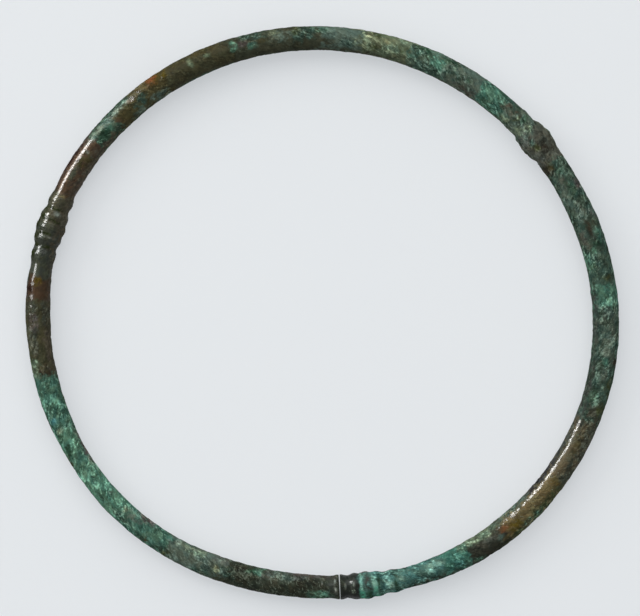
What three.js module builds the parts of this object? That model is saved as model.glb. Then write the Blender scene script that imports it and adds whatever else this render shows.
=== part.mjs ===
import * as THREE from 'three';

// A bronze torc: one solid cast rod bent into a nearly closed neck ring, lying flat.
// Lengths are millimetres and +Z is up. Directions are degrees in plan, from +X towards +Y.

// The ring's centreline. Hand bending left it a little out of round: each wave is
// added to the radius, and crests first at the stated direction.
const RING_RADIUS = 69.08;
const RING_WAVES = [
  { count: 2, height: 1.32, crest: 164.4 },
  { count: 3, height: 0.42, crest: 92.4 },
  { count: 4, height: 0.1, crest: 49.4 },
  { count: 5, height: 0.13, crest: 9.1 },
  { count: 6, height: 0.08, crest: 51.3 },
];

// The slit that parts the ring. It narrows outwards and runs a little askew.
const SLIT_DIRECTION = 273.9;
const SLIT_INNER_WIDTH = 0.2;
const SLIT_OUTER_WIDTH = 0.08;
const SLIT_SKEW = -0.1;

// The same mouldings come three times, mirrored about a bulb. These are the distances
// from the middle of the bulb to each crest and hollow, along the rod.
const MOULDING_PLACES = { bulb: 0, groove: 1.63, ring: 2.83, neck: 4.82, outerRing: 6.74, waist: 9.27 };

// Each group was cast by hand, so its diameters differ, also from one side to the other.
// The slit cuts through the first group's outer ring. The second is thick with crust.
const MOULDINGS = [
  {
    direction: 279.6,
    clockwise: { bulb: 6.88, groove: 6.3, ring: 6.57, neck: 5.65, outerRing: 6.18, waist: 5.58 },
    anticlockwise: { bulb: 6.88, groove: 6.18, ring: 6.31, neck: 5.27, outerRing: 5.85, waist: 5.1 },
  },
  {
    direction: 39.0,
    clockwise: { bulb: 7.85, groove: 7.42, ring: 7.22, neck: 6.2, outerRing: 6.28, waist: 6.05 },
    anticlockwise: { bulb: 7.85, groove: 7.55, ring: 7.12, neck: 5.88, outerRing: 6.3, waist: 5.98 },
  },
  {
    direction: 162.2,
    clockwise: { bulb: 7.32, groove: 6.7, ring: 6.95, neck: 5.57, outerRing: 6.16, waist: 5.3 },
    anticlockwise: { bulb: 7.32, groove: 6.64, ring: 6.72, neck: 5.42, outerRing: 6.03, waist: 5.27 },
  },
];

// The plain rod between the groups swells and thins a little along its length.
const PLAIN_ROD = [
  { direction: 296, diameter: 5.69 },
  { direction: 304, diameter: 6.19 },
  { direction: 315, diameter: 6.33 },
  { direction: 326, diameter: 6.12 },
  { direction: 340, diameter: 6.08 },
  { direction: 352, diameter: 6.45 },
  { direction: 18, diameter: 6.38 },
  { direction: 60, diameter: 6.05 },
  { direction: 80, diameter: 5.87 },
  { direction: 105, diameter: 5.93 },
  { direction: 118, diameter: 6.08 },
  { direction: 131, diameter: 6.0 },
  { direction: 145, diameter: 5.7 },
  { direction: 151.5, diameter: 5.65 },
  { direction: 174, diameter: 5.85 },
  { direction: 180, diameter: 6.12 },
  { direction: 188, diameter: 5.72 },
  { direction: 199, diameter: 5.76 },
  { direction: 210, diameter: 5.11 },
  { direction: 222, diameter: 5.35 },
  { direction: 236, diameter: 5.48 },
  { direction: 248, diameter: 5.92 },
  { direction: 260, diameter: 5.9 },
  { direction: 266, diameter: 5.85 },
];

// The torc lies on its three bulbs, and wear has flattened each one underneath.
const BULB_WEAR = 0.2;

// The mesh: sides round the rod, and the longest step along it.
const SIDES = 24;
const MOULDING_STEP = 0.6;
const PLAIN_STEP = 5.0;

const DEGREES_PER_MM = THREE.MathUtils.radToDeg(1 / RING_RADIUS);
const FULL_TURN = 360;

const ringRadius = (direction) => RING_WAVES.reduce(
  (radius, wave) => radius
    + wave.height * Math.cos(wave.count * THREE.MathUtils.degToRad(direction - wave.crest)),
  RING_RADIUS,
);

// A point of the centreline, before the ring is tilted on to its bulbs.
function centrePoint(direction) {
  const angle = THREE.MathUtils.degToRad(direction);
  return new THREE.Vector3(Math.cos(angle), Math.sin(angle), 0).multiplyScalar(ringRadius(direction));
}

// How far round the ring a direction lies from the slit, anticlockwise, in degrees.
const turnFromSlit = (direction) => THREE.MathUtils.euclideanModulo(direction - SLIT_DIRECTION, FULL_TURN);

// The crests and hollows of one group, as turns from the slit with their diameters.
function mouldingGirths(group) {
  const side = (diameters, sign) => Object.entries(diameters).map(([name, diameter]) => {
    const direction = group.direction + sign * MOULDING_PLACES[name] * DEGREES_PER_MM;
    return { turn: turnFromSlit(direction), diameter, step: MOULDING_STEP };
  });
  return [...side(group.clockwise, -1), ...side(group.anticlockwise, 1).slice(1)];
}

// Every known girth round the ring in order, running on past both faces of the slit.
function girthsInOrder() {
  const plain = PLAIN_ROD.map(({ direction, diameter }) => (
    { turn: turnFromSlit(direction), diameter, step: PLAIN_STEP }));
  const girths = [...plain, ...MOULDINGS.flatMap(mouldingGirths)].sort((a, b) => a.turn - b.turn);
  const first = girths[0];
  const last = girths[girths.length - 1];
  return [
    { ...last, turn: last.turn - FULL_TURN },
    ...girths,
    { ...first, turn: first.turn + FULL_TURN },
  ];
}

const GIRTHS = girthsInOrder();

// The rod's diameter a given turn from the slit, rounded smoothly over each crest and hollow.
function diameterAt(turn) {
  const next = GIRTHS.findIndex((girth, index) => index > 0 && girth.turn >= turn);
  const before = GIRTHS[next - 1];
  const after = GIRTHS[next];
  const along = (turn - before.turn) / (after.turn - before.turn);
  const eased = (1 - Math.cos(Math.PI * along)) / 2;
  return THREE.MathUtils.lerp(before.diameter, after.diameter, eased);
}

// Turns from the slit at which the rod has a section: one at each crest and hollow, and
// steps between them.
function sectionTurns() {
  const turns = [0];
  GIRTHS.slice(1).forEach((girth, index) => {
    const before = GIRTHS[index];
    const start = Math.max(before.turn, 0);
    const end = Math.min(girth.turn, FULL_TURN);
    const longest = Math.max(before.step, girth.step) * DEGREES_PER_MM;
    const steps = Math.round((end - start) / longest);
    for (let step = 1; step <= steps; step += 1) {
      turns.push(THREE.MathUtils.lerp(start, end, step / steps));
    }
  });
  return turns;
}

// The plane that holds the whole centreline once the three worn bulbs touch the ground.
function restingPlane() {
  const supports = MOULDINGS.map(({ direction, clockwise }) => (
    centrePoint(direction).setZ(clockwise.bulb / 2 - BULB_WEAR)));
  return new THREE.Plane().setFromCoplanarPoints(...supports);
}

const RESTING_PLANE = restingPlane();

function centreHeight({ x, y }) {
  const { normal, constant } = RESTING_PLANE;
  return -(normal.x * x + normal.y * y + constant) / normal.z;
}

// How far a face of the slit is shifted anticlockwise at a given place across the rod,
// from -1 on the inside of the ring to 1 on the outside.
function slitShift(across, side) {
  const width = THREE.MathUtils.mapLinear(across, -1, 1, SLIT_INNER_WIDTH, SLIT_OUTER_WIDTH);
  return (side * width + SLIT_SKEW * across) / 2;
}

// Bends a straight round bar of radius 1 into the rod: its length runs anticlockwise round
// the ring, its x points away from the ring's middle and its z points up.
function bendBar(bar, turns) {
  const lastSection = turns.length - 1;
  const position = bar.attributes.position;
  const unit = new THREE.Vector3();
  for (let index = 0; index < position.count; index += 1) {
    unit.fromBufferAttribute(position, index);
    const section = Math.round((unit.y + 0.5) * lastSection);
    const centre = centrePoint(SLIT_DIRECTION + turns[section]);
    const outward = centre.clone().normalize();
    const anticlockwise = new THREE.Vector3(-outward.y, outward.x, 0);
    const radius = diameterAt(turns[section]) / 2;
    const point = centre.clone().addScaledVector(outward, radius * unit.x);
    if (section === 0) point.addScaledVector(anticlockwise, slitShift(unit.x, 1));
    if (section === lastSection) point.addScaledVector(anticlockwise, slitShift(unit.x, -1));
    const height = Math.max(centreHeight(centre) + radius * unit.z, 0);
    position.setXYZ(index, point.x, point.y, height);
  }
  bar.computeVertexNormals();
}

// Bronze under a dark green and brown patina.
const BRONZE = new THREE.MeshStandardMaterial({ color: 0x47523f, roughness: 0.45, metalness: 0.6 });

function makeTorcRing() {
  const turns = sectionTurns();
  const bar = new THREE.CylinderGeometry(1, 1, 1, SIDES, turns.length - 1);
  bendBar(bar, turns);
  bar.computeBoundingBox();
  const middle = bar.boundingBox.getCenter(new THREE.Vector3());
  const ring = new THREE.Mesh(bar, BRONZE);
  ring.name = 'torc_ring';
  ring.position.set(-middle.x, -middle.y, 0);
  return ring;
}

const torc = new THREE.Group();
torc.add(makeTorcRing());

export default torc;
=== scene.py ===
import math

import bpy
import numpy as np
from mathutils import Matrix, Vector, noise


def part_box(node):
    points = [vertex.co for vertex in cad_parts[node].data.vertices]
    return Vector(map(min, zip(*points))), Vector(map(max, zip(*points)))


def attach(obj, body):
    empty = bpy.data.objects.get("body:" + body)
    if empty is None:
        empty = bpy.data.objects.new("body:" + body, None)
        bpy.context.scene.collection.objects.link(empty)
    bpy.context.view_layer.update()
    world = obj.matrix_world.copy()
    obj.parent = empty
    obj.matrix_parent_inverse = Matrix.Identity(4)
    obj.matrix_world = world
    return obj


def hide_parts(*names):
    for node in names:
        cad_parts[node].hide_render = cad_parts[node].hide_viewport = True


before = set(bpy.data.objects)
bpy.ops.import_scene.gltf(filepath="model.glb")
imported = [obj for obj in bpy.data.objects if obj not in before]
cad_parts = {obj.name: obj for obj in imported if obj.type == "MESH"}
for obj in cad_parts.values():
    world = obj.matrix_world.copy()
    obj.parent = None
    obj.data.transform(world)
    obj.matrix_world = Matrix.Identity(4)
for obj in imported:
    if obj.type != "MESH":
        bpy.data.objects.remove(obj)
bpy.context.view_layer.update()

# A bronze torc: one solid cast rod bent into a nearly closed neck ring, lying flat.
# Lengths are millimetres until the mesh is made. Directions are degrees in plan, from +X
# towards +Y. A place across the rod runs from -1 on the inside of the ring to 1 outside.

MM = 0.001
FULL_TURN = 360

# ---------------------------------------------------------------- the form, as in the solid

RING_RADIUS = 69.08
# Waves round the ring: how many, how high, and where the first one crests.
RING_WAVES = ((2, 1.32, 164.4), (3, 0.42, 92.4), (4, 0.1, 49.4), (5, 0.13, 9.1), (6, 0.08, 51.3))

SLIT_DIRECTION = 273.9
SLIT_INNER_WIDTH = 0.2
SLIT_OUTER_WIDTH = 0.08
SLIT_SKEW = -0.1
# How far along the rod the slit's slant fades out, and how its lips are rounded.
SLIT_FADE = 1.5
LIP_ROUNDING = 0.12
LIP_LENGTH = 0.3

# Each group of mouldings is mirrored about its bulb. From the bulb outwards come a groove,
# a ring, a neck, an outer ring and a waist, at these distances along the rod.
MOULDING_PLACES = (0, 1.63, 2.83, 4.82, 6.74, 9.27)
BOTTOM, RIGHT, LEFT = 279.6, 39.0, 162.2
# For each group: its direction, then its diameters clockwise and anticlockwise of the bulb.
MOULDINGS = (
    (BOTTOM, (6.88, 6.3, 6.57, 5.65, 6.18, 5.58), (6.88, 6.18, 6.31, 5.27, 5.85, 5.1)),
    (RIGHT, (7.85, 7.42, 7.22, 6.2, 6.28, 6.05), (7.85, 7.55, 7.12, 5.88, 6.3, 5.98)),
    (LEFT, (7.32, 6.7, 6.95, 5.57, 6.16, 5.3), (7.32, 6.64, 6.72, 5.42, 6.03, 5.27)),
)
# The plain rod's girth: directions and diameters.
PLAIN_ROD = (
    (296, 5.69), (304, 6.19), (315, 6.33), (326, 6.12), (340, 6.08), (352, 6.45), (18, 6.38),
    (60, 6.05), (80, 5.87), (105, 5.93), (118, 6.08), (131, 6.0), (145, 5.7), (151.5, 5.65),
    (174, 5.85), (180, 6.12), (188, 5.72), (199, 5.76), (210, 5.11), (222, 5.35), (236, 5.48),
    (248, 5.92), (260, 5.9), (266, 5.85),
)
# How much wear has taken off each bulb underneath.
BULB_WEAR = 0.2

DEGREES_PER_MM = math.degrees(1 / RING_RADIUS)

# The mesh: points round the rod, sections along it, places at which their pace is worked
# out, how much closer the sections lie near a bulb, and how near that is, in mm.
SIDES = 64
SECTIONS = 1440
PACE_POINTS = 4 * SECTIONS
MOULDING_CROWDING = 0.8
MOULDING_REACH = 10.0


def smooth(value, low, high):
    """0 below low and 1 above high, with a soft step between."""
    share = np.clip((value - low) / (high - low), 0, 1)
    return share * share * (3 - 2 * share)


def ring_radius(direction):
    """The centreline's radius at a direction."""
    waves = (high * np.cos(count * np.radians(direction - crest)) for count, high, crest in RING_WAVES)
    return RING_RADIUS + sum(waves)


def centre_points(directions):
    """Points of the centreline in plan."""
    angle = np.radians(directions)
    return np.stack([np.cos(angle), np.sin(angle)], axis=-1) * ring_radius(directions)[..., None]


def turn_from_slit(direction):
    """How far round the ring a direction lies from the slit, anticlockwise."""
    return (direction - SLIT_DIRECTION) % FULL_TURN


def mm_from(place, directions):
    """Signed distance along the rod from a place on the ring to other directions."""
    half_turn = FULL_TURN / 2
    return ((directions - place + half_turn) % FULL_TURN - half_turn) / DEGREES_PER_MM


def crests_and_hollows():
    """Turns from the slit and diameters, in order, running on past the slit both ways."""
    girths = {(turn_from_slit(direction), diameter) for direction, diameter in PLAIN_ROD}
    for bulb, clockwise, anticlockwise in MOULDINGS:
        for sign, diameters in ((-1, clockwise), (1, anticlockwise)):
            for place, diameter in zip(MOULDING_PLACES, diameters):
                girths.add((turn_from_slit(bulb + sign * place * DEGREES_PER_MM), diameter))
    turns, diameters = np.array(sorted(girths)).T
    turns = np.concatenate([[turns[-1] - FULL_TURN], turns, [turns[0] + FULL_TURN]])
    return turns, np.concatenate([[diameters[-1]], diameters, [diameters[0]]])


def diameters_at(turns):
    """The rod's diameters at turns from the slit, rounded over each crest and hollow."""
    known, size = crests_and_hollows()
    after = np.searchsorted(known, turns)
    share = (turns - known[after - 1]) / (known[after] - known[after - 1])
    eased = (1 - np.cos(np.pi * share)) / 2
    return size[after - 1] + (size[after] - size[after - 1]) * eased


def section_turns():
    """Turns from the slit at which the rod has a section."""
    even = np.linspace(0, FULL_TURN, PACE_POINTS)
    crowding = np.ones_like(even)
    for bulb, *_ in MOULDINGS:
        near = np.abs(mm_from(bulb, even + SLIT_DIRECTION)) < MOULDING_REACH
        crowding += MOULDING_CROWDING * near
    pace = np.cumsum(crowding)
    return np.interp(np.linspace(pace[0], pace[-1], SECTIONS + 1), pace, even)


def centre_heights(points):
    """Heights of the centreline when the three worn bulbs touch the ground."""
    bulbs = np.array([bulb for bulb, *_ in MOULDINGS])
    plan = centre_points(bulbs)
    heights = np.array([clockwise[0] / 2 - BULB_WEAR for _, clockwise, _ in MOULDINGS])
    tilt = np.linalg.solve(np.column_stack([plan, np.ones(3)]), heights)
    return points @ tilt[:2] + tilt[2]


def slit_shift(across, from_start, from_end):
    """How far points move anticlockwise so that the rod's ends make the slit's faces."""
    width = np.interp(across, (-1, 1), (SLIT_INNER_WIDTH, SLIT_OUTER_WIDTH)) / 2
    skew = SLIT_SKEW * across / 2
    start = np.clip(1 - from_start / SLIT_FADE, 0, 1) ** 2
    end = np.clip(1 - from_end / SLIT_FADE, 0, 1) ** 2
    return start * (skew + width) + end * (skew - width)


# ---------------------------------------------------------------- the surface

class Surface:
    """Where each point of the rod's surface lies, and the noise that roughens it."""

    def __init__(self):
        angle = np.linspace(0, 2 * np.pi, SIDES, endpoint=False)
        turns, angles = np.meshgrid(section_turns(), angle, indexing="ij")
        self.turn = turns.ravel()
        self.direction = self.turn + SLIT_DIRECTION
        self.across = np.cos(angles.ravel())
        self.up = np.sin(angles.ravel())
        self.from_start = self.turn / DEGREES_PER_MM
        self.from_end = (FULL_TURN - self.turn) / DEGREES_PER_MM
        self.radius = diameters_at(self.turn) / 2
        self.straightened = np.column_stack(
            [self.from_start, self.across * self.radius, self.up * self.radius])

    def points(self, radius):
        """The surface's points in mm for a radius at each one."""
        centre = centre_points(self.direction)
        outward = centre / np.linalg.norm(centre, axis=1)[:, None]
        anticlockwise = np.column_stack([-outward[:, 1], outward[:, 0]])
        shift = slit_shift(self.across, self.from_start, self.from_end)
        plan = centre + outward * (radius * self.across)[:, None] + anticlockwise * shift[:, None]
        height = np.maximum(centre_heights(centre) + radius * self.up, 0)
        return np.column_stack([plan, height])

    def noise(self, size, seed, octaves=3, stretch=1.0):
        """Noise of about -1 to 1 with lumps about size mm across, longer along the rod."""
        shift = Vector((seed, 2.3 * seed, 3.1 * seed))
        places = self.straightened / (size * stretch, size, size)
        lumps = (noise.fractal(Vector(place) + shift, 1.0, 2.0, octaves) for place in places)
        return np.fromiter(lumps, float, len(places))


# The finishes: the tone as a display colour, then the gloss, how mottled it is, and how much
# of it small pale flecks and thin pale streaks cover.
FINISHES = {
    "deep green": ("#2d4637", 0.05, 0.5, 0.0, 0.0),
    "dark green": ("#3f5147", 0.0, 0.55, 0.06, 0.1),
    "green": ("#455f50", 0.0, 0.6, 0.08, 0.12),
    "teal": ("#48695b", 0.0, 0.6, 0.05, 0.08),
    "bright teal": ("#5b8673", 0.0, 0.5, 0.06, 0.1),
    "deep teal": ("#426d61", 0.0, 0.5, 0.0, 0.05),
    "blue teal": ("#416c6b", 0.0, 0.45, 0.0, 0.0),
    "mint": ("#74a18b", 0.0, 0.5, 0.15, 0.15),
    "grey green": ("#56645a", 0.0, 0.5, 0.1, 0.12),
    "pale green": ("#73856f", 0.0, 0.5, 0.15, 0.12),
    # Pale, mottled crust painted as the broken sheen of a highlight line.
    "pale crust painted as sheen": ("#74857a", 0.0, 0.6, 0.2, 0.3),
    "grey": ("#5e625b", 0.05, 0.4, 0.06, 0.15),
    "dark grey": ("#3f4440", 0.0, 0.4, 0.0, 0.08),
    "smooth green": ("#55655b", 0.05, 0.3, 0.04, 0.06),
    "dull green": ("#53675a", 0.0, 0.6, 0.1, 0.12),
    "khaki": ("#6f765c", 0.0, 0.55, 0.08, 0.05),
    "yellow olive": ("#616b55", 0.0, 0.42, 0.06, 0.0),
    "moss": ("#434a32", 0.05, 0.45, 0.0, 0.0),
    "brown crust": ("#4f5148", 0.0, 0.35, 0.02, 0.08),
    "dark brown": ("#38342b", 0.1, 0.45, 0.02, 0.08),
    "flecked brown": ("#36382f", 0.05, 0.5, 0.12, 0.2),
    "violet grey": ("#534e4b", 0.1, 0.4, 0.03, 0.1),
    "dark olive": ("#3c3e31", 0.08, 0.3, 0.0, 0.0),
    "olive": ("#3d3c2b", 0.18, 0.3, 0.0, 0.04),
    "olive brown": ("#423e29", 0.05, 0.35, 0.0, 0.0),
    "flecked olive": ("#43453b", 0.04, 0.45, 0.12, 0.12),
    "black": ("#2c302a", 0.8, 0.2, 0.02, 0.0),
    "jet": ("#1c201b", 0.8, 0.2, 0.02, 0.0),
    "bronze": ("#3a382a", 0.9, 0.2, 0.0, 0.0),
    "speckled": ("#34382e", 0.12, 0.5, 0.1, 0.14),
    "speckled black": ("#2a2e27", 0.45, 0.4, 0.5, 0.4),
    "bronze green": ("#3a3d31", 0.45, 0.25, 0.0, 0.0),
    "red brown": ("#403224", 1.0, 0.3, 0.0, 0.0),
    "maroon": ("#30211c", 0.0, 0.2, 0.0, 0.0),
    "olive ochre": ("#57513f", 0.38, 0.4, 0.04, 0.14),
    "ochre": ("#5d5338", 0.47, 0.35, 0.0, 0.12),
    "gold": ("#55491f", 0.0, 0.3, 0.0, 0.0),
    "copper": ("#6b442b", 0.05, 0.3, 0.0, 0.0),
    "rust": ("#3f3022", 0.45, 0.22, 0.0, 0.0),
    # A salmon-pink tint, paled further as a painted glint.
    "salmon with painted glint": ("#85685a", 0.08, 0.3, 0.0, 0.0),
    "light teal": ("#59826f", 0.0, 0.55, 0.05, 0.08),
    "sea": ("#4e736c", 0.0, 0.6, 0.06, 0.1),
    # Pale grey flecks, and in one place a painted glint.
    "pale grey fleck and painted glint": ("#959c93", 0.0, 0.2, 0.0, 0.0),
    "dark violet": ("#383839", 0.0, 0.35, 0.0, 0.0),
    "dull ochre": ("#5d5338", 0.25, 0.4, 0.0, 0.25),
    "umber": ("#4d493e", 0.0, 0.3, 0.0, 0.0),
    "dark slate": ("#32332b", 0.04, 0.3, 0.0, 0.0),
    # The outer rim's dark green, also painted as shade in the grooves of the left mouldings.
    "rim green and groove shade": ("#282e1a", 0.0, 0.2, 0.0, 0.0),
    "shaded green": ("#40493f", 0.0, 0.5, 0.0, 0.05),
    "pale band": ("#7fae9f", 0.0, 0.4, 0.0, 0.0),
    "green band": ("#4f957c", 0.0, 0.2, 0.0, 0.0),
    "pale sea": ("#6d9388", 0.0, 0.6, 0.12, 0.1),
}

# What the rod wears along its length: from, to, finish.
STRETCHES = (
    (261.0, 274.0, "speckled"),
    (274.0, 278.3, "jet"),
    (278.0, 296.0, "sea"),
    (296.0, 302.0, "deep teal"),
    (301.8, 311.0, "dark slate"),
    (310.0, 326.5, "ochre"),
    (325.5, 339.0, "olive ochre"),
    (338.0, 362.0, "dark green"),
    (1.5, 6.5, "teal"),
    (6.0, 34.0, "dark green"),
    (33.5, 42.0, "brown crust"),
    (41.0, 46.0, "grey green"),
    (45.5, 49.0, "dark green"),
    (48.5, 56.0, "teal"),
    (55.0, 64.0, "grey green"),
    (63.0, 73.0, "dull green"),
    (71.5, 81.5, "yellow olive"),
    (81.2, 91.0, "smooth green"),
    (90.0, 109.0, "dark olive"),
    (109.0, 124.0, "olive"),
    (123.5, 137.0, "olive brown"),
    (136.5, 142.2, "green"),
    (142.2, 155.5, "red brown"),
    (155.2, 163.5, "bronze"),
    (162.5, 172.5, "black"),
    (172.3, 177.5, "rust"),
    (177.0, 192.5, "olive"),
    (192.5, 206.0, "teal"),
    (204.5, 226.0, "light teal"),
    (225.0, 238.0, "teal"),
    (236.5, 251.0, "grey green"),
    (249.5, 262.0, "speckled"),
)

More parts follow.
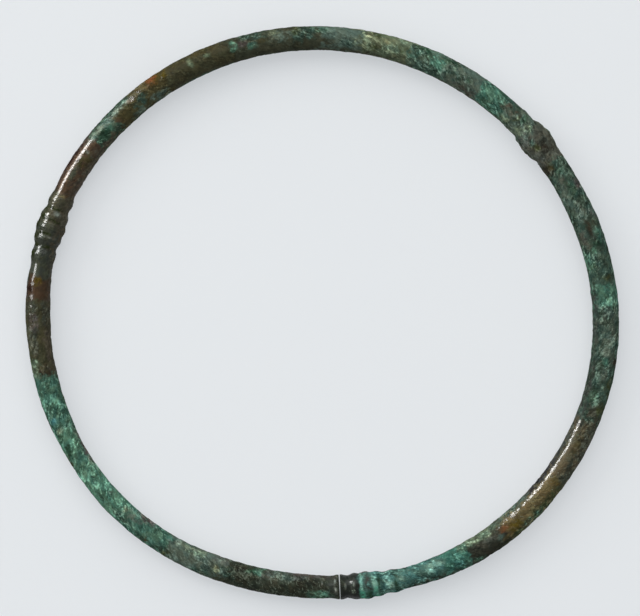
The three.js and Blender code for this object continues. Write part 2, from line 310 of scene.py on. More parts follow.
# Patches on the upper side: from, to, the place across the rod from and to, finish.
PATCHES = (
    (0.0, 5.0, -1.1, -0.6, "dark grey"),
    (1.5, 3.2, 0.1, 0.8, "mint"),
    (4.0, 6.0, -0.3, 0.6, "bright teal"),
    (6.0, 8.0, 0.0, 0.6, "moss"),
    (8.6, 11.6, -0.75, -0.3, "green"),
    (10.0, 12.5, -1.0, -0.6, "bright teal"),
    (12.3, 14.0, -0.4, 0.0, "bright teal"),
    (13.9, 15.3, -0.1, 0.6, "deep green"),
    (14.0, 17.8, -0.85, -0.3, "brown crust"),
    (15.2, 20.0, -0.15, 0.25, "dark brown"),
    (15.2, 17.4, 0.3, 0.8, "teal"),
    (18.0, 19.6, 0.4, 0.9, "dark olive"),
    (19.8, 21.6, 0.5, 0.95, "grey"),
    (19.3, 23.5, -0.6, 0.2, "grey green"),
    (23.5, 28.5, -0.85, -0.25, "grey green"),
    (25.0, 28.3, -0.15, 0.45, "green"),
    (26.0, 28.2, 0.5, 0.9, "violet grey"),
    (28.0, 30.2, -0.5, 0.1, "brown crust"),
    (30.2, 32.2, -0.3, 0.35, "green"),
    (30.5, 34.5, -1.1, -0.5, "dark brown"),
    (32.0, 33.8, -0.65, -0.2, "olive brown"),
    (34.0, 36.2, -1.0, -0.5, "grey"),
    (36.0, 37.8, -0.2, 0.5, "dark brown"),
    (36.5, 38.2, 0.35, 0.8, "brown crust"),
    (37.0, 38.5, -0.5, -0.1, "moss"),
    (38.5, 39.9, -0.5, -0.15, "dark green"),
    (39.0, 41.6, -1.0, -0.45, "grey"),
    (40.2, 42.0, 0.2, 0.9, "brown crust"),
    (41.4, 42.6, -0.2, 0.4, "pale green"),
    (42.3, 44.0, -0.8, -0.3, "pale green"),
    (43.0, 44.5, 0.1, 0.8, "green"),
    (44.4, 45.4, -0.1, 0.3, "khaki"),
    (44.5, 46.5, -0.35, -0.05, "moss"),
    (45.4, 48.8, -0.1, 0.6, "umber"),
    (45.6, 48.8, -0.4, 0.2, "brown crust"),
    (45.8, 48.5, -0.9, -0.3, "pale green"),
    (50.8, 52.5, 0.2, 0.8, "bright teal"),
    (53.0, 54.9, -0.2, 0.6, "bright teal"),
    (54.8, 60.5, -1.1, -0.45, "brown crust"),
    (55.5, 59.5, 0.3, 0.9, "smooth green"),
    (57.0, 58.4, -0.1, 0.4, "deep green"),
    (59.3, 62.8, -0.5, 0.3, "dark green"),
    (60.0, 63.0, 0.3, 0.9, "dark green"),
    (61.2, 62.1, 0.2, 0.4, "pale green"),
    (61.5, 64.0, 0.5, 0.9, "deep green"),
    (63.6, 67.3, -0.2, 0.6, "light teal"),
    (63.5, 70.0, -1.1, -0.45, "dark green"),
    (67.3, 69.8, 0.3, 1.1, "deep green"),
    (69.6, 71.5, -0.3, 0.3, "teal"),
    (72.3, 74.5, 0.45, 0.9, "pale green"),
    (72.3, 74.8, -0.15, 0.4, "moss"),
    (73.8, 77.2, -0.35, 0.25, "pale green"),
    (75.5, 78.0, 0.0, 0.5, "khaki"),
    (76.8, 79.6, 0.55, 1.0, "moss"),
    (77.9, 80.0, -0.6, -0.1, "moss"),
    (79.6, 81.6, 0.35, 0.9, "khaki"),
    (72.0, 92.0, -1.2, -0.7, "dark olive"),
    (80.4, 83.2, -0.4, 0.35, "yellow olive"),
    (83.4, 86.0, -0.6, -0.1, "dark green"),
    (87.5, 92.5, -0.6, 0.0, "dark olive"),
    (88.5, 93.0, 0.3, 0.9, "green"),
    (91.5, 95.5, -0.2, 0.8, "dark green"),
    (94.5, 96.0, 0.3, 0.9, "moss"),
    (96.0, 101.0, -0.15, 0.75, "grey green"),
    (99.0, 100.6, 0.45, 0.9, "khaki"),
    (100.0, 103.6, 0.0, 0.35, "olive brown"),
    (101.0, 104.2, 0.4, 0.9, "dark green"),
    (103.6, 105.2, -0.35, 0.15, "teal"),
    (104.0, 106.8, 0.45, 1.1, "dark green"),
    (105.4, 107.3, 0.0, 0.5, "violet grey"),
    (107.6, 109.0, -0.2, 0.6, "light teal"),
    (112.0, 122.0, 0.5, 1.1, "olive brown"),
    (113.2, 114.4, 0.15, 0.45, "yellow olive"),
    (117.1, 118.1, 0.05, 0.7, "yellow olive"),
    (122.8, 127.8, 0.35, 1.1, "gold"),
    (127.2, 131.6, 0.3, 1.0, "dull ochre"),
    (125.2, 127.3, 0.4, 1.0, "copper"),
    (124.3, 128.0, -1.2, -0.35, "grey green"),
    (128.5, 131.6, -0.7, 0.2, "dark green"),
    (129.5, 133.0, -1.1, -0.6, "grey green"),
    # A salmon-pink spot: partly the crust's own tint, partly a painted glint.
    (131.2, 132.7, 0.35, 0.7, "salmon with painted glint"),
    (131.8, 137.5, 0.55, 1.2, "green"),
    # Painted sheen along the outer side: a pale crust band where the highlight line falls.
    (132.2, 142.0, 0.4, 0.78, "pale crust painted as sheen"),
    (135.8, 137.4, -0.5, 0.1, "red brown"),
    # More of the same painted sheen: pale crust along the highlight line.
    (136.0, 142.2, 0.2, 0.75, "pale crust painted as sheen"),
    (132.0, 142.4, 0.82, 1.3, "dark green"),
    (138.0, 142.2, -1.2, -0.5, "olive brown"),
    (138.5, 141.5, -0.4, 0.2, "deep green"),
    (137.5, 155.0, -1.3, -0.4, "umber"),
    (145.0, 148.4, -0.5, 0.3, "olive brown"),
    (142.5, 155.0, 0.74, 1.1, "maroon"),
    (144.9, 145.5, -0.05, 0.2, "grey"),
    (148.6, 152.0, -0.1, 0.35, "bronze green"),
    (152.6, 154.8, 0.1, 0.45, "rust"),
    (155.1, 155.8, -0.2, 0.2, "ochre"),
    (158.6, 159.6, -0.55, 0.05, "grey"),
    (160.0, 165.6, -0.2, 0.9, "bronze green"),
    # Painted shade: dark lines across the grooves of the left mouldings, where their slopes turn from
    # the light.
    (157.9, 158.6, -1.1, 1.1, "rim green and groove shade"),
    (160.5, 161.05, -1.1, 1.1, "rim green and groove shade"),
    (163.3, 163.75, -1.1, 1.1, "rim green and groove shade"),
    (165.8, 166.5, -1.1, 1.1, "rim green and groove shade"),
    (164.0, 164.35, -0.5, 0.2, "grey"),
    (155.2, 172.6, -1.3, -0.4, "umber"),
    (155.5, 172.5, 0.72, 1.3, "rim green and groove shade"),
    (168.5, 172.3, -0.9, 0.9, "bronze green"),
    (172.6, 174.0, -0.2, 0.35, "gold"),
    (173.6, 176.4, 0.55, 1.1, "maroon"),
    (176.3, 179.6, 0.1, 0.9, "flecked olive"),
    (176.8, 192.5, -1.3, -0.5, "umber"),
    (177.5, 182.5, -1.0, -0.2, "flecked olive"),
    (180.0, 183.0, 0.0, 0.6, "violet grey"),
    (182.8, 188.0, 0.1, 0.9, "flecked olive"),
    (187.0, 192.5, 0.75, 1.3, "moss"),
    (189.7, 192.8, 0.35, 1.0, "pale green"),
    (190.0, 192.6, -0.8, 0.2, "dark brown"),
    (196.6, 198.2, 0.4, 1.0, "bright teal"),
    (197.0, 199.4, -0.6, 0.1, "bright teal"),
    (201.1, 202.4, 0.2, 0.8, "blue teal"),
    (203.6, 204.5, 0.0, 0.55, "pale green"),
    (204.6, 206.2, 0.3, 0.9, "deep green"),
    (205.0, 213.5, -1.3, -0.75, "violet grey"),
    (206.2, 209.3, -0.3, 0.15, "bright teal"),
    (206.6, 209.4, 0.2, 0.8, "deep green"),
    (209.0, 213.5, -0.5, 0.3, "teal"),
    (209.0, 212.5, 0.65, 1.1, "olive brown"),
    (213.4, 215.2, 0.0, 0.6, "mint"),
    (217.6, 218.7, -0.3, 0.1, "mint"),
    (218.3, 220.3, 0.2, 0.7, "green"),
    (219.4, 221.2, -0.8, -0.3, "dark green"),
    (220.9, 224.3, -0.75, 0.1, "bright teal"),
    (224.0, 225.5, -0.6, 0.0, "pale green"),
    (223.6, 227.4, 0.1, 0.6, "dark green"),
    (225.5, 229.0, -0.7, 0.0, "grey green"),
    (228.0, 232.0, -1.2, -0.6, "violet grey"),
    (231.0, 232.6, 0.3, 0.9, "olive"),
    (233.3, 237.0, 0.2, 1.0, "dark green"),
    (236.0, 237.6, 0.3, 1.0, "moss"),
    (240.0, 243.5, -0.9, -0.4, "pale green"),
    (238.0, 242.5, -0.3, 0.3, "grey green"),
    (243.0, 247.0, 0.3, 1.0, "dark green"),
    (246.8, 248.2, -0.2, 0.3, "khaki"),
    (246.0, 249.5, -1.0, -0.5, "grey"),
    (247.0, 250.5, 0.5, 1.2, "dark olive"),
    (248.6, 251.8, -0.4, 0.4, "dark green"),
    (250.8, 253.4, -0.9, 0.1, "flecked brown"),
    (254.0, 256.0, -0.9, -0.4, "deep green"),
    (255.8, 257.6, -1.1, -0.5, "bright teal"),
    (257.2, 261.0, -1.0, -0.25, "grey"),
    (257.0, 262.0, -0.4, 0.2, "flecked brown"),
    (259.0, 264.0, -1.1, -0.35, "grey green"),
    (263.5, 267.0, -1.1, -0.5, "dark grey"),
    (264.3, 266.3, -0.4, 0.3, "flecked brown"),
    (267.5, 272.5, 0.35, 1.2, "green"),
    (268.9, 271.2, 0.3, 0.8, "bright teal"),
    (267.6, 270.6, -0.8, -0.1, "flecked brown"),
    (271.5, 272.4, -0.6, 0.3, "black"),
    (271.5, 273.6, -0.7, 0.8, "black"),
    (272.75, 273.35, -0.7, 0.35, "grey"),
    (274.4, 275.2, -0.5, 0.3, "speckled"),
    (277.1, 278.1, -1.2, 1.2, "jet"),
    (276.0, 277.3, -0.55, 0.6, "speckled black"),
    (276.7, 277.1, -0.4, -0.05, "pale grey fleck and painted glint"),
    (276.2, 276.5, -0.1, 0.25, "grey"),
    (274.9, 275.3, -0.35, 0.15, "grey"),
    (272.9, 273.2, 0.0, 0.3, "pale grey fleck and painted glint"),
    (272.8, 273.1, -0.7, -0.45, "pale grey fleck and painted glint"),
    # A painted glint: a small pale spot where a highlight shows.
    (270.1, 270.35, -0.6, -0.3, "pale grey fleck and painted glint"),
    (263.0, 272.0, -1.3, -0.74, "violet grey"),
    (278.25, 278.75, -1.0, 0.45, "pale band"),
    (278.05, 278.9, 0.3, 1.1, "green band"),
    (279.1, 280.7, -0.7, 0.4, "black"),
    (279.0, 280.6, 0.4, 1.1, "deep green"),
    (280.85, 281.7, -1.0, 0.4, "pale band"),
    (280.8, 281.8, 0.3, 1.1, "green band"),
    (281.9, 282.5, -0.8, 1.0, "deep green"),
    (283.2, 284.9, -0.8, 0.9, "pale sea"),
    (285.2, 286.0, -0.5, 0.9, "deep green"),
    (286.0, 287.6, -0.35, 0.1, "pale sea"),
    (287.0, 301.0, 0.6, 1.3, "shaded green"),
    (291.4, 296.2, -0.75, 0.1, "pale sea"),
    (298.4, 300.2, 0.0, 0.5, "blue teal"),
    (300.6, 309.2, -1.1, -0.4, "pale green"),
    (302.4, 304.2, 0.45, 1.0, "green"),
    (304.5, 308.8, -0.4, 0.1, "brown crust"),
    (308.4, 309.6, 0.0, 0.5, "grey green"),
    (309.6, 311.5, -0.4, 0.25, "copper"),
    (318.0, 338.0, -1.3, -0.7, "dark grey"),
    (316.0, 330.0, -1.3, -0.76, "dark violet"),
    (310.5, 317.5, -0.7, -0.1, "dull ochre"),
    (310.0, 318.5, -1.3, -0.65, "grey green"),
    (309.0, 326.0, 0.4, 1.3, "moss"),
    (311.0, 314.6, -0.1, 0.5, "gold"),
    (314.4, 316.4, 0.5, 0.9, "green"),
    (317.0, 318.6, 0.5, 0.9, "green"),
    (323.8, 325.6, -0.2, 0.4, "gold"),
    (324.5, 338.0, 0.1, 1.3, "flecked olive"),
    (330.5, 336.0, -0.2, 0.3, "olive brown"),
    (334.0, 342.0, -0.4, 1.2, "flecked olive"),
    (338.0, 351.0, -1.2, -0.5, "dark grey"),
    (340.0, 342.2, 0.3, 1.0, "moss"),
    (341.7, 344.6, -0.5, 0.2, "green"),
    (344.6, 347.0, 0.4, 1.0, "moss"),
    (346.6, 349.6, -0.2, 0.4, "grey green"),
    (349.5, 352.0, 0.4, 1.1, "dark brown"),
    (349.9, 351.2, -0.1, 0.3, "bright teal"),
    (351.0, 361.5, -0.5, 0.7, "grey green"),
    (353.0, 360.0, -1.1, -0.6, "dark grey"),
)

# Patches scattered over the sides and the underside: a seed for the noise, finish.
UNDERSIDE = ((51.3, "dark green"), (62.9, "umber"), (74.1, "teal"), (85.7, "dark olive"))
# How much further the borders of stretches stray at the sides and underneath, in mm.
SIDE_STRAY = 7.0

# The borders of the patches: how far they wander and how soft they are, in mm. Patches
# smaller than WANDER_FULL wander less, and none is softer than SOFTNESS_LIMIT times its half
# width.
BORDER_WANDER = 0.9
BORDER_RAGGEDNESS = 1.1
WANDER_FULL = 1.4
BORDER_SOFTNESS = 1.0
GLOSSY_SOFTNESS = 1.5
SOFTNESS_LIMIT = 1.6
PATCH_SQUARENESS = 3
# Patches are worn through here and there.
WORN_THROUGH = 0.75

# Heights round the rod, from -1 underneath to 1 on top, between which the scattered patches
# and the stray of borders fade out and the patches of the upper side fade in.
UNDERSIDE_FADE = (-0.1, 0.45)
STRAY_FADE = (0.1, 0.7)
PATCH_FADE = (-0.3, 0.1)


def linear(tone):
    """A display tone such as "#3b4d43" as linear light."""
    shares = (int(tone[place:place + 2], 16) / 255 for place in (1, 3, 5))
    return tuple(((share + 0.055) / 1.055) ** 2.4 for share in shares)


class Finish:
    """How much of each finish every point of the surface wears."""

    def __init__(self, surface):
        self.surface = surface
        self.wander_along = self.wander(seed=1.7)
        self.wander_across = self.wander(seed=5.9)
        at_sides = 1 - smooth(surface.up, *STRAY_FADE)
        self.stray = SIDE_STRAY * surface.noise(size=3.5, seed=27.3) * at_sides
        self.whole = 1 - WORN_THROUGH * smooth(surface.noise(size=1.2, seed=14.2), low=0.0, high=0.35)
        self.colour = np.zeros((len(surface.turn), 3))
        self.qualities = np.zeros((len(surface.turn), 4))
        self.paint_all()

    def paint_all(self):
        """Lays on the stretches, then the underside's patches, then the upper side's."""
        for start, end, finish in STRETCHES:
            self.paint(self.stretch(start, end), finish)
        below = 1 - smooth(self.surface.up, *UNDERSIDE_FADE)
        for seed, finish in UNDERSIDE:
            lumps = self.surface.noise(size=4.5, seed=seed, stretch=1.5)
            self.paint(below * smooth(lumps, low=0.05, high=0.25) * self.whole, finish)
        above = smooth(self.surface.up, *PATCH_FADE)
        for start, end, inner, outer, finish in PATCHES:
            _, gloss, *_ = FINISHES[finish]
            softness = BORDER_SOFTNESS + GLOSSY_SOFTNESS * gloss
            share = self.patch(start, end, inner, outer, softness)
            self.paint(share * above * self.whole, finish)

    def wander(self, seed):
        """How far, in mm, the borders wander from their places."""
        broad = BORDER_WANDER * self.surface.noise(size=2.6, seed=seed)
        return broad + BORDER_RAGGEDNESS * self.surface.noise(size=0.9, seed=seed + 0.4)

    def stretch(self, start, end):
        """1 on the stretch of rod between two directions and 0 off it."""
        middle, half = (start + end) / 2, (end - start) / 2 / DEGREES_PER_MM
        along = mm_from(middle, self.surface.direction) + self.wander_along + self.stray
        return smooth(half - np.abs(along), -BORDER_SOFTNESS / 2, BORDER_SOFTNESS / 2)

    def patch(self, start, end, inner, outer, softness):
        """1 in a patch with round corners and 0 outside it."""
        middle, half_along = (start + end) / 2, (end - start) / 2 / DEGREES_PER_MM
        half_across = (outer - inner) / 2 * self.surface.radius
        along = mm_from(middle, self.surface.direction)
        along = along + self.wander_along * min(1, half_along / WANDER_FULL) ** 2
        across = (self.surface.across - (inner + outer) / 2) * self.surface.radius
        across = across + self.wander_across * np.minimum(1, half_across / WANDER_FULL) ** 2
        reach = np.abs(along / half_along) ** PATCH_SQUARENESS
        reach = (reach + np.abs(across / half_across) ** PATCH_SQUARENESS) ** (1 / PATCH_SQUARENESS)
        narrow = np.minimum(half_along, half_across)
        softness = np.minimum(softness, SOFTNESS_LIMIT * narrow)
        return smooth((1 - reach) * narrow / softness, low=-0.5, high=0.5)

    def paint(self, share, finish):
        """Lays a finish over what is there."""
        tone, *qualities = FINISHES[finish]
        colour = np.array(linear(tone))
        self.colour += (colour - self.colour) * share[:, None]
        self.qualities += (np.array(qualities) - self.qualities) * share[:, None]

    def attributes(self):
        """How glossy, mottled, flecked and streaked each point is, as values for the mesh."""
        names = ("gloss", "mottle", "flecks", "streaks")
        return dict(zip(names, self.qualities.T))


# The relief, in mm: how high the swells, the crust and its grain stand, how lumpy the crust
# is near the right bulb, how deep the pits are, and the worn grooves round the left bulb.
SWELL_HEIGHT = 0.05
CRUST_HEIGHT = 0.06
GRAIN_HEIGHT = 0.11
RIGHT_LUMP_HEIGHT = 0.24
PIT_DEPTH = 0.11
SMALL_PIT_DEPTH = 0.07
GROOVE_DEPTH = 0.06
GROOVE_SPACING = 0.62
GROOVE_SKEW = 0.25


def relief(surface, finish):
    """How far each point stands off the plain form, in mm."""
    crust = 1 - smooth(finish.attributes()["gloss"], low=0.1, high=0.6)
    near_right = 1 - smooth(np.abs(mm_from(RIGHT, surface.direction)), low=5.0, high=10.0)
    lumps = surface.noise(size=9.0, seed=3.3, octaves=2) * SWELL_HEIGHT
    lumps += CRUST_HEIGHT * (crust - 0.5)
    lumps += surface.noise(size=2.3, seed=8.1) * RIGHT_LUMP_HEIGHT * near_right
    lumps += surface.noise(size=1.3, seed=12.4, stretch=1.4) * GRAIN_HEIGHT * crust
    pits = smooth(surface.noise(size=0.9, seed=21.7), low=0.28, high=0.6) * PIT_DEPTH
    small_pits = smooth(surface.noise(size=0.7, seed=33.1), low=0.45, high=0.7) * SMALL_PIT_DEPTH
    lumps -= pits * crust + small_pits * (1 - crust)
    return lumps - left_bulb_grooves(surface) - lip_rounding(surface)


def left_bulb_grooves(surface):
    """How deep the fine grooves are that run round the left bulb, a little askew."""
    place = mm_from(LEFT, surface.direction) + GROOVE_SKEW * surface.across
    on_bulb = 1 - smooth(np.abs(place), low=1.0, high=1.5)
    return GROOVE_DEPTH * on_bulb * smooth(np.cos(2 * np.pi * place / GROOVE_SPACING), low=0.2, high=0.9)


def lip_rounding(surface):
    """How much the rod shrinks just beside the slit."""
    from_slit = np.minimum(surface.from_start, surface.from_end)
    return LIP_ROUNDING * np.clip(1 - from_slit / LIP_LENGTH, 0, 1) ** 2


# ---------------------------------------------------------------- the mesh

def rod_faces():
    """Faces between the sections, and a fan over each end."""
    faces = []
    for section in range(SECTIONS):
        here, there = section * SIDES, (section + 1) * SIDES
        for side in range(SIDES):
            after = (side + 1) % SIDES
            faces.append((here + side, here + after, there + after, there + side))
    start_middle = (SECTIONS + 1) * SIDES
    last = SECTIONS * SIDES
    for side in range(SIDES):
        after = (side + 1) % SIDES
        faces.append((start_middle, after, side))
        faces.append((start_middle + 1, last + side, last + after))
    return faces


def place_on_frame(points, plain_points):
    """Points in metres, with the plain form's outline in the middle of the CAD ring's box."""
    low, high = (np.array(corner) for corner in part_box("torc_ring"))
    middle = (plain_points.min(axis=0) + plain_points.max(axis=0)) / 2 * MM
    move_x, move_y, _ = (low + high) / 2 - middle
    return np.clip(points * MM + [move_x, move_y, low[2]], low, high)


def with_ends(values):
    """Values at the surface's points, and at the middles of the rod's two ends."""
    return np.concatenate([values, values[:1], values[-1:]])


def add_values(mesh, name, values):
    """Keeps a number at each of the mesh's points."""
    mesh.attributes.new(name, "FLOAT", "POINT").data.foreach_set("value", with_ends(values))


def add_vectors(mesh, name, vectors):
    """Keeps a vector at each of the mesh's points."""
    attribute = mesh.attributes.new(name, "FLOAT_VECTOR", "POINT")
    attribute.data.foreach_set("vector", with_ends(vectors).ravel())


def make_ring(material):
    """The whole torc as one mesh, with its finish as attributes."""
    surface = Surface()
    finish = Finish(surface)
    raised = relief(surface, finish)
    points = surface.points(surface.radius + raised)
    ends = [points[:SIDES].mean(axis=0), points[-SIDES:].mean(axis=0)]
    points = place_on_frame(np.vstack([points, ends]), surface.points(surface.radius))
    mesh = bpy.data.meshes.new("torc")
    mesh.from_pydata(points.tolist(), [], rod_faces())
    mesh.shade_smooth()
    for name, values in {**finish.attributes(), "raised": raised}.items():
        add_values(mesh, name, values)
    add_vectors(mesh, "finish", finish.colour)
    add_vectors(mesh, "straightened", surface.straightened)
    mesh.materials.append(material)
    ring = bpy.data.objects.new("torc", mesh)
    bpy.context.collection.objects.link(ring)
    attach(ring, "root")
    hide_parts("torc_ring")
    return ring


# ---------------------------------------------------------------- materials

class Nodes:
    """Builds one material's nodes."""

    def __init__(self, name):
        self.material = bpy.data.materials.new(name)
        self.material.use_nodes = True
        self.tree = self.material.node_tree
        self.shader = self.tree.nodes["Principled BSDF"]

    def put(self, socket, value):
        """Gives a socket a number, a colour or another node's output."""
        if isinstance(value, bpy.types.NodeSocket):
            self.tree.links.new(value, socket)
        else:
            socket.default_value = value

    def attribute(self, name, output="Fac"):
        """A value that the mesh holds at each point."""
        node = self.tree.nodes.new("ShaderNodeAttribute")
        node.attribute_name = name
        return node.outputs[output]

    def noise(self, size, seed, detail=4.0, roughness=0.62, stretch=1.0, lean=0.0, warp=0.0):
        """Noise from 0 to 1 on the straightened rod, with lumps about size mm across.

        The lumps are longer in a direction that leans that many degrees off the rod's."""
        move = self.tree.nodes.new("ShaderNodeMapping")
        move.vector_type = "TEXTURE"
        self.put(move.inputs["Vector"], self.attribute("straightened", "Vector"))
        move.inputs["Location"].default_value = (seed, -seed, 2 * seed)
        move.inputs["Rotation"].default_value = (0.0, 0.0, math.radians(lean))
        move.inputs["Scale"].default_value = (size * stretch, size, size)
        node = self.tree.nodes.new("ShaderNodeTexNoise")
        self.put(node.inputs["Vector"], move.outputs["Vector"])
        node.inputs["Scale"].default_value = 1.0
        node.inputs["Detail"].default_value = detail
        node.inputs["Roughness"].default_value = roughness
        node.inputs["Distortion"].default_value = warp
        return node.outputs["Fac"]

    def maths(self, operation, first, second=0.0, third=0.0):
        """The result of one operation on up to three numbers."""
        node = self.tree.nodes.new("ShaderNodeMath")
        node.operation = operation
        for socket, value in zip(node.inputs, (first, second, third)):
            self.put(socket, value)
        return node.outputs["Value"]

    def times(self, first, second):
        """A product."""
        return self.maths("MULTIPLY", first, second)

    def total(self, first, *others):
        """Several values added up."""
        for other in others:
            first = self.maths("ADD", first, other)
        return first

    def swing(self, value, height):
        """Noise moved to swing that far either side of 0."""
        return self.maths("MULTIPLY_ADD", value, 2 * height, -height)

    def step(self, value, low, high):
        """0 below low and 1 above high."""
        node = self.tree.nodes.new("ShaderNodeMapRange")
        node.interpolation_type = "SMOOTHSTEP"
        self.put(node.inputs["Value"], value)
        node.inputs["From Min"].default_value = low
        node.inputs["From Max"].default_value = high
        return node.outputs["Result"]

    def cover(self, share, patches, softness=0.05):
        """Where the noise's patches cover that share of the surface."""
        height = self.maths("MULTIPLY_ADD", patches, COVER_SPREAD, -COVER_LEVEL)
        level = self.maths("ADD", height, share)
        return self.times(self.step(level, -softness, softness), self.step(share, low=0.0, high=0.1))

    def blend(self, share, first, second, mode="MIX"):
        """Two colours mixed."""
        node = self.tree.nodes.new("ShaderNodeMix")
        node.data_type = "RGBA"
        node.blend_type = mode
        self.put(node.inputs[0], share)
        for socket, value in ((node.inputs[6], first), (node.inputs[7], second)):
            self.put(socket, value if isinstance(value, bpy.types.NodeSocket) else (*value, 1.0))
        return node.outputs[2]


# Linear colours. Crests are a paler shade of their finish; the casts multiply its colour.
CREST_GAIN = (1.5, 1.5, 1.5)
CREST_LIFT = (0.07, 0.085, 0.07)
CREST_STRENGTH = 0.4
WARM_CAST = (1.2, 1.0, 0.84)
COOL_CAST = (0.84, 1.0, 1.02)
CONTRAST = 1.6
# Taken off the noise, so that it leaves the mean tone as it is.
EVENING = 0.2
# Small marks: their colours, and how much of the finish they hide.
FLECK = (0.23, 0.28, 0.21)
FLECK_STRENGTH = 0.7
STREAK_STRENGTH = 0.7
PIT = (0.006, 0.008, 0.006)
PIT_STRENGTH = 0.6
# The slit's pale lips, painted light where the faces of the cut catch the lamp, and the distances
# from the slit, in mm, between which they fade out.
PAINTED_LIP_LIGHT = (0.14, 0.17, 0.14)
PAINTED_LIP_LIGHT_STRENGTH = 0.6
PAINTED_LIP_LIGHT_FADE = (0.048, 0.128)

# The grain: how far each size of noise swings, and how much calmer its calm places are.
BROAD_SWING = 0.9
FLAKE_SWING = 0.45
FINE_SWING = 1.4
CALM = 0.5
RUFFLING = 0.75
# Turns noise into cover: a share of 0 covers next to nothing and 1 nearly everything.
COVER_SPREAD = 2.2
COVER_LEVEL = 1.6

# The gloss: how much of it pale marks, worn crests and scuffs take away, and how it shows.
MARKS_DULL = 0.8
CRESTS_DULL = 1.8
SCUFFS_DULL = 0.7
METAL_OF_GLOSS = 0.1
COAT_ROUGHNESS = 0.14
COAT_IOR = 1.35
GLOSSY_ROUGHNESS = 0.4
MATT_ROUGHNESS = 0.75
GRAIN_ROUGHNESS = 0.1
BUMP_DISTANCE = 0.1 * MM
GLOSSY_BUMP = 0.08
MATT_BUMP = 0.98


def mottled_colour(nodes, grain):
    """The finish's colour with paler crests, darker hollows and a drift of hue."""
    mottle = nodes.attribute("mottle")
    drift = nodes.noise(size=1.8, seed=23.0, stretch=1.5, lean=30, warp=0.5)
    cast = nodes.blend(nodes.step(drift, low=0.38, high=0.62), COOL_CAST, WARM_CAST)
    colour = nodes.blend(mottle, nodes.attribute("finish", "Vector"), cast, "MULTIPLY")
    crusty = nodes.step(mottle, low=0.25, high=0.6)
    crests = nodes.times(nodes.step(grain, low=0.2, high=1.0), nodes.times(crusty, CREST_STRENGTH))
    pale = nodes.blend(1.0, nodes.attribute("finish", "Vector"), CREST_GAIN, "MULTIPLY")
    pale = nodes.blend(1.0, pale, CREST_LIFT, "ADD")
    colour = nodes.blend(crests, colour, pale)
    swell = nodes.times(nodes.maths("SUBTRACT", grain, EVENING), CONTRAST)
    tone = nodes.maths("EXPONENT", nodes.times(swell, mottle))
    return nodes.blend(1.0, colour, tone, "MULTIPLY")


def from_slit(nodes):
    """Distance along the rod from the nearer face of the slit, in mm."""
    parts = nodes.tree.nodes.new("ShaderNodeSeparateXYZ")
    nodes.put(parts.inputs["Vector"], nodes.attribute("straightened", "Vector"))
    to_end = nodes.maths("SUBTRACT", FULL_TURN / DEGREES_PER_MM, parts.outputs["X"])
    return nodes.maths("MINIMUM", parts.outputs["X"], to_end)


def grain_noises(nodes):
    """Broad swells, and the finer mottle of flakes and grain, calmer in some places."""
    broad = nodes.swing(nodes.noise(size=2.6, seed=3.0, warp=0.6), BROAD_SWING)
    flakes = nodes.noise(size=0.95, seed=4.0, stretch=2.3, lean=32, warp=0.6)
    flakes = nodes.swing(nodes.step(flakes, low=0.43, high=0.57), FLAKE_SWING)
    fine = nodes.noise(size=0.45, seed=9.0, detail=3.0, roughness=0.6, stretch=1.3, lean=30)
    fine = nodes.swing(fine, FINE_SWING)
    ruffled = nodes.step(nodes.noise(size=3.2, seed=41.0, detail=2.0, stretch=1.4), low=0.38, high=0.62)
    strength = nodes.maths("MULTIPLY_ADD", ruffled, RUFFLING, CALM)
    return broad, nodes.times(nodes.total(flakes, fine), strength)


def pale_marks(nodes):
    """Where small pale flecks and thin pale streaks lie."""
    flecks = nodes.noise(size=0.5, seed=17.0, detail=3.0, roughness=0.7)
    flecks = nodes.cover(nodes.attribute("flecks"), flecks)
    streaks = nodes.noise(size=0.3, seed=57.0, detail=2.0, stretch=4.5, lean=62, warp=0.3)
    streaks = nodes.cover(nodes.attribute("streaks"), streaks, softness=0.12)
    return nodes.maths("MAXIMUM", flecks, nodes.times(streaks, STREAK_STRENGTH))


def marked_colour(nodes, colour, marks):
    """The colour with pale marks, dark pits and the painted light on the slit's lips."""
    colour = nodes.blend(nodes.times(marks, FLECK_STRENGTH), colour, FLECK)
    pit = nodes.step(nodes.times(nodes.attribute("raised"), -1.0), low=0.05, high=0.16)
    colour = nodes.blend(nodes.times(pit, PIT_STRENGTH), colour, PIT)
    fade_start, fade_end = PAINTED_LIP_LIGHT_FADE
    # Painted light: the slit's lips are paled where the faces of the cut catch the lamp.
    painted_lip_light = nodes.step(nodes.times(from_slit(nodes), -1.0), low=-fade_end, high=-fade_start)
    return nodes.blend(nodes.times(painted_lip_light, PAINTED_LIP_LIGHT_STRENGTH), colour, PAINTED_LIP_LIGHT)


def worn_gloss(nodes, mottle, marks):
    """The finish's gloss, less where there are pale marks, worn crests and scuffs."""
    worn = nodes.times(nodes.step(mottle, low=-0.1, high=0.5), nodes.attribute("mottle"))
    dull = nodes.maths("MAXIMUM", nodes.times(marks, MARKS_DULL), nodes.times(worn, CRESTS_DULL))
    gloss = nodes.times(nodes.attribute("gloss"), nodes.maths("SUBTRACT", 1.0, dull))
    scuffs = nodes.noise(size=0.4, seed=71.0, detail=2.0, stretch=4.0, lean=55)
    scuffs = nodes.step(scuffs, low=0.5, high=0.6)
    gloss = nodes.times(gloss, nodes.maths("MULTIPLY_ADD", scuffs, -SCUFFS_DULL, 1.0))
    return nodes.maths("MAXIMUM", gloss, 0.0)


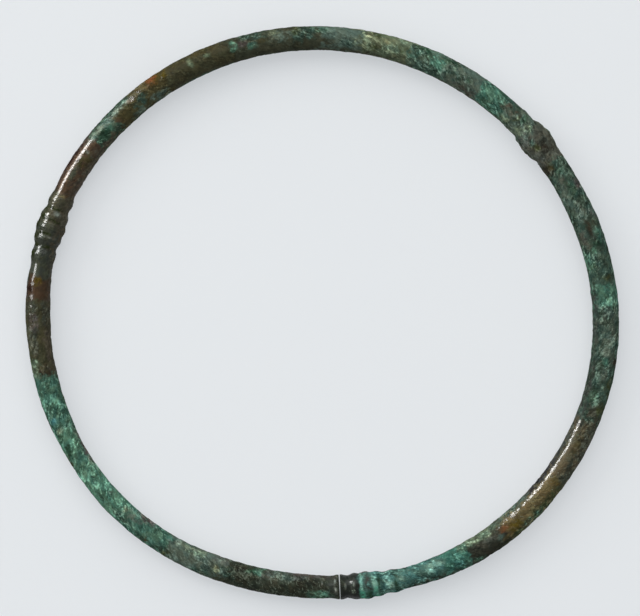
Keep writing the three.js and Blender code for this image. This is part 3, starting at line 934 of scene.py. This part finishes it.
def patina_material():
    """Bronze under green crust: mottled and matt where it is green, glossy where it is not."""
    nodes = Nodes("patinated bronze")
    broad, mottle = grain_noises(nodes)
    marks = pale_marks(nodes)
    colour = marked_colour(nodes, mottled_colour(nodes, nodes.total(broad, mottle)), marks)
    gloss = worn_gloss(nodes, mottle, marks)
    matt = nodes.maths("SUBTRACT", 1.0, gloss)
    roughness = nodes.maths("MULTIPLY_ADD", matt, MATT_ROUGHNESS - GLOSSY_ROUGHNESS, GLOSSY_ROUGHNESS)
    shader = nodes.shader
    nodes.put(shader.inputs["Base Color"], colour)
    nodes.put(shader.inputs["Roughness"], nodes.total(nodes.times(mottle, GRAIN_ROUGHNESS), roughness))
    nodes.put(shader.inputs["Metallic"], nodes.times(gloss, METAL_OF_GLOSS))
    nodes.put(shader.inputs["Coat Weight"], gloss)
    shader.inputs["Coat Roughness"].default_value = COAT_ROUGHNESS
    shader.inputs["Coat IOR"].default_value = COAT_IOR
    shader.inputs["Specular IOR Level"].default_value = 0.0
    bump = nodes.tree.nodes.new("ShaderNodeBump")
    bump.inputs["Distance"].default_value = BUMP_DISTANCE
    nodes.put(bump.inputs["Height"], mottle)
    strength = nodes.maths("MULTIPLY_ADD", matt, MATT_BUMP - GLOSSY_BUMP, GLOSSY_BUMP)
    nodes.put(bump.inputs["Strength"], strength)
    nodes.put(shader.inputs["Normal"], bump.outputs["Normal"])
    return nodes.material


# ---------------------------------------------------------------- floor, light and camera

FLOOR_COLOUR = (0.33, 0.335, 0.335)
FLOOR_GLOW = (0.443, 0.461, 0.481)
FLOOR_ROUGHNESS = 0.9
FLOOR_SIZE = 6.0

# The lamp on the left and the one that makes the highlights shine from the same place.
LEFT_LAMP_PLACE = {"azimuth": 152, "elevation": 27, "distance": 1.4}
SKY_COLOUR = (0.95, 0.98, 1.0)
SKY_STRENGTH = 0.5


def floor_material():
    """Matt and pale, and lit a little from within, which keeps the shadows faint."""
    nodes = Nodes("pale floor")
    nodes.shader.inputs["Base Color"].default_value = (*FLOOR_COLOUR, 1.0)
    nodes.shader.inputs["Roughness"].default_value = FLOOR_ROUGHNESS
    nodes.shader.inputs["Specular IOR Level"].default_value = 0.0
    nodes.shader.inputs["Emission Color"].default_value = (*FLOOR_GLOW, 1.0)
    nodes.shader.inputs["Emission Strength"].default_value = 1.0
    return nodes.material


def make_floor():
    """A plain pale floor under the torc."""
    half = FLOOR_SIZE / 2
    corners = [(-half, -half, 0), (half, -half, 0), (half, half, 0), (-half, half, 0)]
    mesh = bpy.data.meshes.new("floor")
    mesh.from_pydata(corners, [], [(0, 1, 2, 3)])
    mesh.materials.append(floor_material())
    floor = bpy.data.objects.new("floor", mesh)
    bpy.context.collection.objects.link(floor)


def from_middle(azimuth, elevation, distance):
    """A place that many metres from the torc's middle. The azimuth is a direction in plan."""
    turn, rise = math.radians(azimuth), math.radians(elevation)
    level = math.cos(rise)
    return distance * Vector((level * math.cos(turn), level * math.sin(turn), math.sin(rise)))


def add_light(name, azimuth, elevation, distance, width, height, power):
    """A soft lamp that faces the torc."""
    lamp = bpy.data.lights.new(name, "AREA")
    lamp.shape = "RECTANGLE"
    lamp.size = width
    lamp.size_y = height
    lamp.energy = power
    light = bpy.data.objects.new(name, lamp)
    light.location = from_middle(azimuth, elevation, distance)
    light.rotation_euler = (-light.location).to_track_quat("-Z", "Y").to_euler()
    bpy.context.collection.objects.link(light)
    return light


def light_scene():
    """Soft light from the left and from beyond the torc, with a pale sky.

    The gleam lamp shows only in the highlights."""
    add_light("left lamp", **LEFT_LAMP_PLACE, width=0.9, height=0.6, power=7.6)
    add_light("far lamp", azimuth=95, elevation=40, distance=2.4, width=3.2, height=3.2, power=50)
    gleam = add_light("gleam lamp", **LEFT_LAMP_PLACE, width=0.9, height=0.46, power=260)
    gleam.visible_diffuse = False
    world = bpy.data.worlds.new("studio")
    world.use_nodes = True
    background = world.node_tree.nodes["Background"]
    background.inputs["Color"].default_value = (*SKY_COLOUR, 1.0)
    background.inputs["Strength"].default_value = SKY_STRENGTH
    bpy.context.scene.world = world


# The camera looks straight down. The view is as wide as stated at the rod's mid height.
VIEW_WIDTH = 158.1 * MM
VIEW_SHIFT = (-0.53 * MM, 1.21 * MM)
LENS = 200.0
SENSOR = 36.0


def add_camera():
    """A long lens right above the torc."""
    low, high = (Vector(corner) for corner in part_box("torc_ring"))
    middle = (low + high) / 2
    data = bpy.data.cameras.new("camera")
    data.lens = LENS
    data.sensor_width = SENSOR
    camera = bpy.data.objects.new("camera", data)
    distance = VIEW_WIDTH * LENS / SENSOR
    camera.location = middle + Vector((*VIEW_SHIFT, distance))
    bpy.context.collection.objects.link(camera)
    bpy.context.scene.camera = camera


make_ring(patina_material())
make_floor()
light_scene()
add_camera()
bpy.context.scene.view_settings.view_transform = "Standard"
